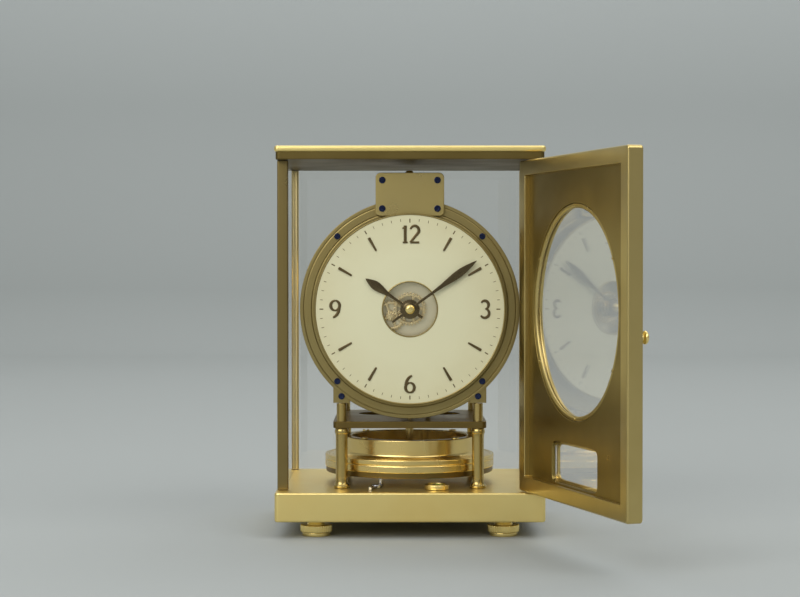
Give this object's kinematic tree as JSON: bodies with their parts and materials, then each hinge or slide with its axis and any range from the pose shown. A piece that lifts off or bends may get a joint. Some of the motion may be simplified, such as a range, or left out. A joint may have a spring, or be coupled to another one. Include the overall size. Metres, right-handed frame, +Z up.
{
  "type": "atmospheric clock",
  "caption": "Free-standing brass clock wound by air temperature: glazed case with hinged door, cream dial, sealed bellows and a torsion pendulum on a wire.",
  "frame": {"origin": "middle of the fixed rear foot's underside, on the table", "axes": "+Z up, +Y to the back of the case, +X to the right of the case seen from the front"},
  "size_m": [0.2031, 0.27, 0.232],
  "materials": {
    "gilt_brass": "polished, lacquered",
    "polished_steel": "fine polish",
    "cream_enamel": "satin",
    "dark_gilt": "dark bronze, satin",
    "clear_glass": "clear, polished"
  },
  "bodies": {
    "case": {"base_plate": "gilt_brass", "top_plate": "gilt_brass", "front_left_post": "gilt_brass", "front_right_post": "gilt_brass", "rear_left_post": "gilt_brass", "rear_right_post": "gilt_brass", "left_glass": "clear_glass", "right_glass": "clear_glass", "back_glass": "clear_glass", "rear_foot": "gilt_brass", "top_hinge_pin": "gilt_brass", "bottom_hinge_pin": "gilt_brass", "front_left_pillar": "gilt_brass", "front_right_pillar": "gilt_brass", "rear_left_pillar": "gilt_brass", "rear_right_pillar": "gilt_brass", "platform": "gilt_brass", "main_plate": "gilt_brass", "back_plate": "gilt_brass", "top_bridge": "gilt_brass", "dial": "cream_enamel", "barrel_arbor": "polished_steel", "ratchet_click": "polished_steel", "escape_cock": "gilt_brass", "pallet_cock": "gilt_brass", "suspension_tube": "gilt_brass", "suspension_nut": "gilt_brass", "bellows_housing": "gilt_brass", "housing_cover": "gilt_brass", "bellows_capsule": "gilt_brass", "bellows_spring": "polished_steel", "spirit_level": "gilt_brass"},
    "door": {"door_frame": "gilt_brass", "door_glass": "clear_glass", "glass_retainer": "gilt_brass", "pendulum_window_glass": "clear_glass", "door_knob": "gilt_brass"},
    "left_foot": {"left_levelling_foot": "gilt_brass"},
    "right_foot": {"right_levelling_foot": "gilt_brass"},
    "minute": {"minute_hand": "dark_gilt", "hand_nut": "dark_gilt", "cannon_pinion": "gilt_brass", "centre_wheel": "gilt_brass"},
    "hour": {"hour_hand": "dark_gilt", "hour_wheel": "gilt_brass"},
    "motion": {"minute_wheel": "gilt_brass"},
    "barrel": {"barrel": "gilt_brass"},
    "contrate": {"contrate_wheel": "gilt_brass"},
    "escape": {"escape_wheel": "gilt_brass"},
    "pallets": {"pallet_lever": "polished_steel"},
    "pendulum": {"pendulum_wheel": "gilt_brass", "roller": "polished_steel", "suspension_wire": "polished_steel"},
    "regulator": {"regulator_lever": "gilt_brass"},
    "lock": {"lock_lever": "polished_steel"},
    "bellows": {"push_plate": "gilt_brass", "winding_chain": "polished_steel"},
    "pulley": {"guide_pulley": "gilt_brass"},
    "chain_drive": {"chain_wheel": "gilt_brass"}
  },
  "joints": [
    {"name": "door_swing", "type": "hinge", "parent": "case", "child": "door", "pos_m": [0.0706, -0.1095, 0.1255], "axis": [0, 0, 1], "range_deg": [-107.5, 12.5]},
    {"name": "left_foot_turn", "type": "hinge", "parent": "case", "child": "left_foot", "pos_m": [-0.056, -0.096, 0.005], "axis": [0, 0, 1], "continuous": true},
    {"name": "right_foot_turn", "type": "hinge", "parent": "case", "child": "right_foot", "pos_m": [0.056, -0.096, 0.005], "axis": [0, 0, 1], "continuous": true},
    {"name": "minute_turn", "type": "hinge", "parent": "case", "child": "minute", "pos_m": [0, -0.09, 0.1355], "axis": [0, 1, 0], "continuous": true},
    {"name": "hour_turn", "type": "hinge", "parent": "case", "child": "hour", "pos_m": [0, -0.098, 0.1355], "axis": [0, 1, 0], "continuous": true},
    {"name": "motion_turn", "type": "hinge", "parent": "case", "child": "motion", "pos_m": [-0.01128, -0.094, 0.1314], "axis": [0, 1, 0], "continuous": true},
    {"name": "barrel_turn", "type": "hinge", "parent": "case", "child": "barrel", "pos_m": [-0.01819, -0.083, 0.146], "axis": [0, 1, 0], "continuous": true},
    {"name": "contrate_turn", "type": "hinge", "parent": "case", "child": "contrate", "pos_m": [0, -0.08, 0.1163], "axis": [0, 1, 0], "continuous": true},
    {"name": "escape_turn", "type": "hinge", "parent": "case", "child": "escape", "pos_m": [0, -0.0788, 0.09], "axis": [0, 0, 1], "continuous": true},
    {"name": "pallet_rock", "type": "hinge", "parent": "case", "child": "pallets", "pos_m": [0, -0.0658, 0.0717], "axis": [0, 0, 1], "range_deg": [-5, 5]},
    {"name": "pendulum_twist", "type": "hinge", "parent": "case", "child": "pendulum", "pos_m": [0, -0.048, 0.045], "axis": [0, 0, 1], "range_deg": [-225, 225], "stiffness_Nm_per_rad": 0.000013},
    {"name": "regulator_turn", "type": "hinge", "parent": "case", "child": "regulator", "pos_m": [0, -0.048, 0.211], "axis": [0, 0, 1], "range_deg": [-30, 30]},
    {"name": "lock_turn", "type": "hinge", "parent": "case", "child": "lock", "pos_m": [-0.02, -0.09097, 0.0285], "axis": [0, 0, 1], "range_deg": [0, 40]},
    {"name": "bellows_push", "type": "slide", "parent": "case", "child": "bellows", "axis": [0, -1, 0], "range_m": [-0.002, 0.003], "deforming": ["bellows_capsule", "bellows_spring", "winding_chain"]},
    {"name": "pulley_turn", "type": "hinge", "parent": "case", "child": "pulley", "pos_m": [-0.02319, -0.05975, 0.1295], "axis": [1, 0, 0], "continuous": true},
    {"name": "chain_wheel_turn", "type": "hinge", "parent": "case", "child": "chain_drive", "pos_m": [-0.01819, -0.06275, 0.146], "axis": [0, 1, 0], "continuous": true}
  ],
  "couplings": [
    {"joint": "hour_turn", "follows": "minute_turn", "ratio": 0.083333},
    {"joint": "motion_turn", "follows": "minute_turn", "ratio": -0.33333},
    {"joint": "barrel_turn", "follows": "minute_turn", "ratio": -0.16667},
    {"joint": "contrate_turn", "follows": "minute_turn", "ratio": -3},
    {"joint": "escape_turn", "follows": "minute_turn", "ratio": 4},
    {"joint": "pulley_turn", "follows": "bellows_push", "rad_per_m": -333.33},
    {"joint": "chain_wheel_turn", "follows": "bellows_push", "rad_per_m": 200}
  ]
}
